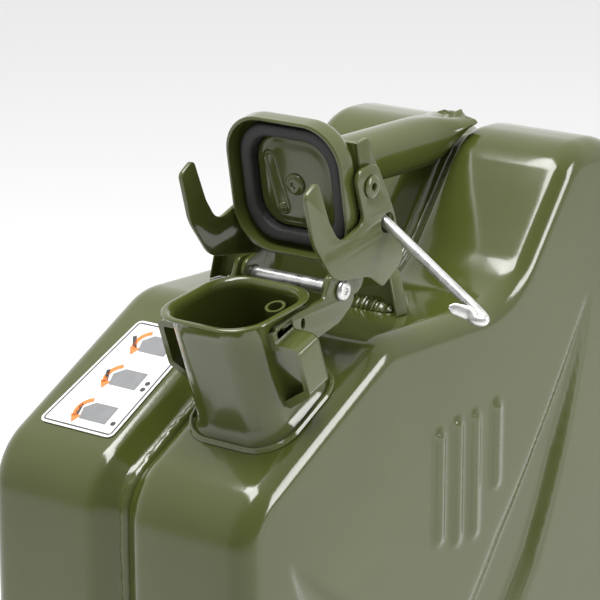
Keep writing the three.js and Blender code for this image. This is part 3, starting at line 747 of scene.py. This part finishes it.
def build_lid():
    """Dish, sealing ring, inner panel with its raised loop and dome, and the rivet."""
    half, depth = LID_HALF, LID_DEPTH
    lid_profile([
        (half - 12, depth - 0.35), (half - 9, depth - 0.1), (half - 6, depth), (half - 4, depth - 0.1),
        (half - 2.4, depth - 0.6), (half - 1.1, depth - 1.6), (half - 0.4, depth - 2.9),
        (half - 0.05, depth - 4.5), (half - 0.1, 2.5), (half, 1.2), (half + 0.05, 0.5), (half - 0.3, 0.1),
        (half - 0.8, 0), (half - 1.3, 0.15), (half - 1.5, 0.7), (half - 1.5, depth - 4.3),
        (half - 2, depth - 2.6), (half - 3.2, depth - 1.7), (half - 5, depth - 1.5),
    ], "lid_dish_pressed", PAINT_HARDWARE, "lid_dish")
    top = depth - 1.8
    lid_profile([
        (half - 4, top), (half - 3.7, 6), (half - 4, 4.2), (half - 4.6, 3.6), (half - 5.6, 3.4),
        (half - 8, 3.45), (half - 8.8, 3.9), (half - 9.2, 4.8), (half - 9.2, top),
    ], "lid_gasket_moulded", RUBBER, "lid_gasket", ring=True)
    inner = half - 9.6
    panel_sink = 2.85
    panel = loft("panel", [lid_loop(size, height) for size, height in [
        (inner, top), (inner, top - 1.1), (inner - 0.4, top - 1.6), (inner - 1.2, top - 1.9),
        (inner - 2.4, top - 1.9), (inner - 3.4, top - 2.1), (inner - 4.2, top - 2.6),
        (inner - 5.2, top - 2.8), (inner - 8, top - panel_sink),
    ]])
    ends = [Vector((-9.5, 11.4, 0)), Vector((10.5, 7.4, 0))]
    along = (ends[0] - ends[1]).normalized()
    across = Vector((-along.y, along.x, 0))
    track = []
    for end, start in ((ends[0], -math.pi / 2), (ends[1], math.pi / 2)):
        for k in range(13):
            angle = start + math.pi * k / 12
            track.append(end + (along * math.cos(angle) + across * math.sin(angle)) * 2.6)
    loops = []
    for shift, height in ((-1.1, 0.3), (-0.7, -0.55), (0, -0.9), (0.7, -0.55), (1.1, 0.3)):
        ring = []
        for at in track:
            nearest = ends[0] if (at - ends[0]).length < (at - ends[1]).length else ends[1]
            out = (at - nearest).normalized()
            lid_at = at + out * shift + Vector((LID_CENTRE.x, 0, LID_CENTRE.z + top - panel_sink + height))
            ring.append(LID_MATRIX @ lid_at)
        loops.append(ring)
    emboss = loft("emboss", loops, ring=True)
    dome = turned("dome", [(0, -1.9), (1.3, -1.6), (2.2, -0.7), (2.5, 0.3), (0, 0.3)], False, 28)
    at = LID_CENTRE + ends[1] + Vector((0, 0, top - panel_sink))
    place(dome, LID_MATRIX @ Matrix.Translation(at))
    piece = merge("panel", panel, emboss, dome)
    finish_piece(piece, "lid_panel_pressed", "lid", PAINT_HARDWARE, ["lid_inner_panel"])
    low = depth - 4.9
    rivet = turned("rivet", [
        (0, low - 0.9), (1.1, low - 0.8), (1.5, low - 1.5), (2.4, low - 1.6), (3.6, low - 1.3),
        (4.5, low - 0.5), (4.6, low), (2.6, low), (2.6, depth + 2.4), (4.6, depth + 2.4),
        (4.3, depth + 3.3), (2.8, depth + 3.9), (0, depth + 4),
    ], False)
    place(rivet, LID_MATRIX @ Matrix.Translation((LID_CENTRE.x, 0, LID_CENTRE.z)))
    finish_piece(rivet, "lid_rivet_set", "lid", PAINT_HARDWARE, ["lid_rivet"])


def build_carrier():
    """The bent plate behind the lid: a bridge, two cheeks that hold the lever, two arms."""
    low = LID_CENTRE.z + LID_DEPTH + 0.3
    pivot = LID_MATRIX.inverted() @ PIVOT
    cheek = [(-58, low, 0.5), (-22, low, 0.5), (-22, low + 4.8, 3), (-31, low + 11, 6),
             (-45, low + 11.5, 5), (-51, low + 8.5, 4), (-58, low + 9, 3)]
    arm = [(-34, low, 0.5), (-8.6, low, 2), (-7, -7, 6), (7, -7, 6.5), (6.5, low + 4, 7),
           (-6, low + 6.5, 6), (-34, low + 5, 2)]
    pieces = []
    for side in (-1, 1):
        outline = outline_points(fillet_arcs(cheek), 0, 8)
        pieces.append(sheet_plate("cheek", outline, 27.5, 1.8, side, [circle(2.9, 24, (pivot.x, pivot.z))]))
        outline = outline_points(fillet_arcs(arm), 0, 8)
        pieces.append(sheet_plate("arm", outline, 19.7, 2, side, [circle(3.2, 24)]))
    bridge = [Vector((x, y)) for x, y in ((-58, -29), (-22, -29), (-22, 29), (-58, 29))]
    plate = sheet_plate("bridge", bridge, 0, 1.8, 1, [circle(3, 24, (LID_CENTRE.x, 0))])
    plate.data.transform(Matrix.Rotation(-math.pi / 2, 4, "X"))
    top = max(vert.co.z for vert in plate.data.vertices)
    plate.data.transform(Matrix.Translation((0, 0, (low + 1.8) * MM - top)))
    piece = merge("carrier", plate, *pieces)
    place(piece, LID_MATRIX)
    finish_piece(piece, "lid_carrier_pressed", "lid", PAINT_HARDWARE, ["lid_carrier"])


# ---------------------------------------------------------------- lever and locking pin

# From the closure's origin too, with the lid open.
HOOK_OUTLINE = [
    (11.5, 0.5, 2.5), (25.5, 9.3, 5), (18.3, 31, 14), (6.8, 52.3, 6), (-7.4, 50.2, 5), (-0.8, 29.5, 4),
    (-16.6, 23.4, 7), (-23.6, 33.6, 14), (-31.2, 51.6, 2.2), (-39, 46.4, 3), (-33.4, 26.5, 18),
    (-20.5, 9.2, 14), (2, 6.6, 10),
]


def build_lever():
    """Two hook plates, the web between them, and the rivets that they turn on."""
    pin = PIN_HOLE - CLOSURE
    pivot = PIVOT - CLOSURE
    outline = outline_points(fillet_arcs(HOOK_OUTLINE), 0, 10)
    holes = [circle(4.2, 32, (pin.x, pin.z)), circle(2.9, 24, (pivot.x, pivot.z))]
    pieces = [sheet_plate("plate", outline, 30, 2, side, holes, 0.45) for side in (-1, 1)]
    web = [(24.6, 11, 1), (18.4, 30.2, 0.8), (16.5, 29.6, 0.8), (22.7, 10.4, 0.8)]
    pieces.append(sheet_plate("web", outline_points(fillet_arcs(web), 0, 5), -31, 62, 1, (), 0.3))
    lever = merge("lever", *pieces)
    place(lever, Matrix.Translation(CLOSURE))
    finish_piece(lever, "hook_lever_pressed", "lever", PAINT_HARDWARE, ["hook_lever"])
    inside, outside = 27.2, 32.3
    for side, half in ((-1, "near"), (1, "far")):
        profile = [(0, inside - 1.4), (2.6, inside - 1.3), (3.7, inside - 0.8), (4, inside), (2.6, inside),
                   (2.6, outside), (4.5, outside), (4.6, outside + 0.4), (4, outside + 0.9),
                   (2.5, outside + 1.1), (1.7, outside + 1), (1.4, outside + 0.2),
                   (1.2, outside - 0.6), (0, outside - 0.7)]
        rivet = turned("rivet", [(r, side * y) for r, y in profile])
        place(rivet, Matrix.Translation(PIVOT))
        node = f"pivot_rivet_{half}"
        finish_piece(rivet, f"{node}_set", "lever", PAINT_HARDWARE, [node])


def build_locking_pin():
    """The bent pin, drooping from its hole."""
    along = Vector((0, -math.cos(PIN_DROOP), -math.sin(PIN_DROOP)))
    back = Vector((-0.48, 0.82, 0.3)).normalized()
    end = along * PIN_LENGTH
    knots = [along * reach for reach in (-11, -7, -4, 0, 18, 38, PIN_LENGTH - 5)]
    knots += [end + Vector((-1.4, 0, 0.2)), end + back * 3 + Vector((-1.6, 0, -0.8)), end + back * 7,
              end + back * 13]
    # Half width and half height at each knot: flat inner end, round rod, flattened return.
    sizes = [(2.4, 0.8), (3.3, 1.3), (2.5, 2), (2.25, 2.25), (2.25, 2.25), (2.25, 2.25), (2.25, 2.25),
             (2.3, 2.2), (2.4, 2), (2.9, 1.5), (2.4, 1.1)]
    per_span = 8
    path = smooth_path([PIN_HOLE + knot for knot in knots], per_span)
    radii = []
    for (w0, h0), (w1, h1) in zip(sizes, sizes[1:]):
        radii += [(w0 + (w1 - w0) * k / per_span, h0 + (h1 - h0) * k / per_span) for k in range(per_span)]
    radii.append(sizes[-1])
    tail = path[-1] - path[-2]
    for share in (0.5, 0.8, 0.95):
        path.append(path[-1] + tail.normalized() * 0.7)
        shrink = math.sqrt(1 - share**2)
        radii.append((sizes[-1][0] * shrink, sizes[-1][1] * max(shrink, 0.6)))
    pin = swept("pin", path, radii, 24)
    finish_piece(pin, "locking_pin_plated", "pin", ZINC, ["locking_pin"])


# ---------------------------------------------------------------- handle

def handle_loop(x, height, half_width, half_height, dent=0.0):
    """A section of the tube, creased and dented on top by a share."""
    loop = []
    for p in circle(1, 48):
        fold = 1 - dent * max(0.0, p.y) * (1 - abs(p.x)) ** 2
        crinkle = 1 + 0.35 * dent * noise.noise(Vector((x * 0.2, p.x * 3, p.y * 3)))
        loop.append(Vector((x, SEAM_Y + p.x * half_width * crinkle, height + p.y * half_height * fold)))
    return loop


def crumpled_weld():
    """The rough bead where the pinched end of the tube is welded to the hump."""
    loops = []
    for k in range(25):
        across = -1 + 2 * k / 24
        reach = math.sqrt(max(1 - across**2, 0.02))
        middle = Vector((90.5 - 3 * across**2, SEAM_Y + 13.5 * across, HUMP_TOP + 2.4))
        ring = []
        for p in circle(1, 14):
            at = middle + Vector((4.6 * p.x * reach, 0, 3.4 * p.y * reach))
            lump = 1 + 0.7 * noise.noise(at * 0.33) + 0.3 * noise.noise(at * 0.9)
            ring.append(middle + Vector((4.6 * p.x, 0, 3.4 * p.y)) * reach * lump)
        loops.append(ring)
    return loft("weld", loops)


def build_handle():
    """The carrying tube: open at the front, pinched and welded at the rear."""
    front = FOOT_X + 2.3
    height, radius = HANDLE_HEIGHT, HANDLE_RADIUS
    outer = [handle_loop(x, height, radius, radius) for x in (front, front + 2, 10, 25, 40, 55)]
    outer += [handle_loop(62, height, radius, radius, 0.02),
              handle_loop(68, height + 0.3, radius, radius - 0.2, 0.08),
              handle_loop(73, height + 1.2, radius + 0.3, radius - 1.2, 0.2),
              handle_loop(78, height + 2.8, radius + 1, radius - 3.6, 0.3),
              handle_loop(82, height + 4.4, radius + 1.8, 5.4, 0.35),
              handle_loop(86, height + 5.6, radius + 2.4, 3.8, 0.3),
              handle_loop(90, height + 6.4, radius + 2.8, 2.6, 0.2)]
    tube = loft("tube", outer)
    bore = loft("bore", [handle_loop(x, height, radius - 1.5, radius - 1.5) for x in (front - 1, 60)])
    cutter = tube.modifiers.new("bore", "BOOLEAN")
    cutter.operation = "DIFFERENCE"
    cutter.object = bore
    bpy.context.view_layer.update()
    mesh = bpy.data.meshes.new_from_object(tube.evaluated_get(bpy.context.evaluated_depsgraph_get()))
    tube.modifiers.clear()
    tube.data = mesh
    bpy.data.objects.remove(bore)
    weld = crumpled_weld()
    tube = merge("tube", tube, weld)
    shade(tube, 50)
    finish_piece(tube, "handle_tube_drawn", "body", PAINT, ["handle_tube"])


def build_foot_welds():
    """The uneven fillet welds at the foot plate's base."""
    for half in ("near", "far"):
        low, high = (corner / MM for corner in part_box(f"foot_weld_{half}"))
        loops = []
        for k in range(49):
            y = low.y + (high.y - low.y) * k / 48
            swell = 1 + 0.5 * noise.noise(Vector((0, y * 0.9, 3))) + 0.22 * math.sin(y * 2.6)
            fade = math.sin(math.pi * min(max(k / 48, 0.03), 0.97)) ** 0.4
            loop = []
            for j in range(9):
                angle = math.pi / 2 * j / 8
                reach = 3.6 * swell * fade * (1 - 0.18 * math.sin(2 * angle))
                loop.append(Vector((high.x - reach * math.cos(angle), y, low.z + reach * math.sin(angle))))
            loop.append(Vector((high.x, y, low.z)))
            loops.append(loop)
        bead = loft("bead", loops)
        node = f"foot_weld_{half}"
        finish_piece(bead, f"{node}_bead", "body", PAINT_HARDWARE, [node])


def soften(node, name, material, body, width, segments=3):
    """A copy of a CAD node with its sharp edges rounded."""
    mesh = NODES[node].data.copy()
    bm = bmesh.new()
    bm.from_mesh(mesh)
    bmesh.ops.remove_doubles(bm, verts=bm.verts, dist=0.000005)
    bmesh.ops.dissolve_limit(bm, angle_limit=math.radians(1), verts=bm.verts, edges=bm.edges)
    bm.to_mesh(mesh)
    bm.free()
    piece = bpy.data.objects.new(name, mesh)
    bpy.context.scene.collection.objects.link(piece)
    bevel = piece.modifiers.new("edges", "BEVEL")
    bevel.width = width * MM
    bevel.segments = segments
    bevel.limit_method = "ANGLE"
    bevel.angle_limit = math.radians(40)
    bpy.context.view_layer.update()
    rounded = bpy.data.meshes.new_from_object(piece.evaluated_get(bpy.context.evaluated_depsgraph_get()))
    piece.modifiers.clear()
    piece.data = rounded
    shade(piece, 45)
    return finish_piece(piece, name, body, material, [node])


# ---------------------------------------------------------------- label

def shoulder_point(along, y, raised):
    """A point of the shoulder: mm up the slope from its front edge, y from the seam, mm off its face."""
    slope = (SHOULDER_REAR - SHOULDER_FRONT).normalized()
    at = SHOULDER_FRONT + slope * along + Vector((-slope.y, slope.x)) * raised
    return Vector((at.x, SEAM_Y + y, at.y))


def ink(name, outline, material, raised=0.68, thickness=0.05):
    """A flat printed shape on the label; outline holds (along, y) points."""
    loops = [[shoulder_point(a, y, height) for a, y in outline] for height in (raised, raised + thickness)]
    piece = loft(name, loops, smooth=False)
    return finish_piece(piece, name, "body", material)


def strip(points, width):
    """The outline of a band of even width along points."""
    left, right = [], []
    for k, at in enumerate(points):
        along = (points[min(k + 1, len(points) - 1)] - points[max(k - 1, 0)]).normalized()
        normal = Vector((-along.y, along.x)) * width / 2
        left.append(at + normal)
        right.append(at - normal)
    return left + right[::-1]


def build_label():
    """A white label with a thin border and three wordless steps: close, lift, pour."""
    corners = [(21, 16, 3), (86, 16, 3), (86, 50, 3), (21, 56, 3)]
    arcs = fillet_arcs(corners)
    outline = outline_points(arcs, 0, 6)
    loops = [[shoulder_point(p.x, p.y, h) for p in outline] for h in (0.3, 0.6)]
    sheet = loft("label_sheet", loops)
    finish_piece(sheet, "label_sheet_vinyl", "body", VINYL, ["label"])
    outer, inner = outline_points(arcs, 1.2, 6), outline_points(arcs, 1.9, 6)
    loops = [[shoulder_point(p.x, p.y, h) for p in edge]
             for edge, h in ((outer, 0.62), (outer, 0.68), (inner, 0.68), (inner, 0.62))]
    border = loft("label_border", loops, ring=True, smooth=False)
    finish_piece(border, "label_border_line", "body", INK)
    for step in range(3):
        middle = 32 + 21 * step
        base = [(middle - 5, 24), (middle + 5, 24), (middle + 5, 36), (middle + 1, 40), (middle - 5, 38)]
        ink(f"label_can_{step}", base, GREY_INK)
        arc = [Vector((middle + 6.5 * math.cos(a), 36 + 6.5 * math.sin(a)))
               for a in (math.radians(20 + 14 * k) for k in range(9))]
        ink(f"label_arrow_{step}", [tuple(p) for p in strip(arc, 2.2)], ORANGE_INK)
        tip = arc[-1]
        head = [(tip.x - 3.6, tip.y - 0.8), (tip.x + 1, tip.y - 2.8), (tip.x + 0.8, tip.y + 2.6)]
        ink(f"label_tip_{step}", head, ORANGE_INK)
        lever = [Vector((middle - 4 + 2.2 * k, 40.5 + (step + 1) * 0.55 * k)) for k in range(4)]
        ink(f"label_lever_{step}", [tuple(p) for p in strip(lever, 1.8)], INK)
        for dot in range(step + 1):
            spot = [tuple(p) for p in circle(1.2, 14, (middle - 3.6 + 3.6 * dot, 20.5))]
            ink(f"label_dot_{step}_{dot}", spot, INK)


# ---------------------------------------------------------------- stage, lights, camera

def build_stage():
    """A pale floor, and a white studio that is dimmer on the spout side."""
    bpy.ops.mesh.primitive_plane_add(size=8, location=(0, 0, 0))
    floor = bpy.context.object
    floor.name = "floor"
    material, nodes, links, shader = new_material("pale_floor")
    shader.inputs["Base Color"].default_value = (0.86, 0.86, 0.86, 1)
    shader.inputs["Roughness"].default_value = 0.6
    floor.data.materials.append(material)
    world = bpy.data.worlds.new("studio")
    bpy.context.scene.world = world
    world.use_nodes = True
    nodes, links = world.node_tree.nodes, world.node_tree.links
    coordinates = nodes.new("ShaderNodeTexCoord")
    facing = nodes.new("ShaderNodeVectorMath")
    facing.operation = "DOT_PRODUCT"
    facing.inputs[1].default_value = (0.66, 0.66, 0.36)
    links.new(coordinates.outputs["Generated"], facing.inputs[0])
    strength = map_node(nodes, links, facing.outputs["Value"], -0.5, 0.3, 0.35, 1.06)
    background = nodes["Background"]
    background.inputs["Color"].default_value = (1, 1, 1, 1)
    links.new(strength.outputs["Result"], background.inputs["Strength"])


def soft_light(name, place_at, target, size, power):
    """A rectangular area light aimed at a target."""
    light = bpy.data.lights.new(name, "AREA")
    light.shape = "RECTANGLE"
    light.size, light.size_y = size
    light.energy = power
    lamp = bpy.data.objects.new(name, light)
    bpy.context.scene.collection.objects.link(lamp)
    lamp.location = place_at
    lamp.rotation_euler = (Vector(target) - Vector(place_at)).to_track_quat("-Z", "Y").to_euler()


def build_camera():
    """A long lens, 38 degrees off the can's length and 15.5 degrees up, on the spout side."""
    azimuth, height = math.radians(38), math.radians(15.5)
    level = Vector((math.cos(azimuth), math.sin(azimuth), 0))
    forward = level * math.cos(height) - Vector((0, 0, math.sin(height)))
    right = forward.cross(Vector((0, 0, 1))).normalized()
    up = right.cross(forward)
    anchor = Vector((-18.5, SEAM_Y, 325))
    distance, aim_left, aim_down = 1186, 0.85, 7.6
    place_at = anchor - right * aim_left - up * aim_down - forward * distance
    data = bpy.data.cameras.new("camera")
    data.lens, data.sensor_width = 168, 36
    data.clip_end = 50
    camera = bpy.data.objects.new("camera", data)
    bpy.context.scene.collection.objects.link(camera)
    turned_to = Matrix((right, up, -forward)).transposed().to_4x4()
    camera.matrix_world = Matrix.Translation(place_at * MM) @ turned_to
    bpy.context.scene.camera = camera
    bpy.context.scene.view_settings.view_transform = "Standard"


build_camera()
build_stage()
soft_light("overhead", (-0.35, 0.1, 1.5), (0, 0, 0.3), (1.2, 0.42), 22)
soft_light("side", (0.75, -1.7, 0.75), (0, 0, 0.25), (0.45, 1.0), 17)
build_body()
build_seam()
build_neck()
build_vent()
build_brackets()
build_hinge_pin()
build_lid()
build_carrier()
build_lever()
build_locking_pin()
build_handle()
soften("handle_foot", "handle_foot_pressed", PAINT, "body", 0.6)
build_foot_welds()
build_label()
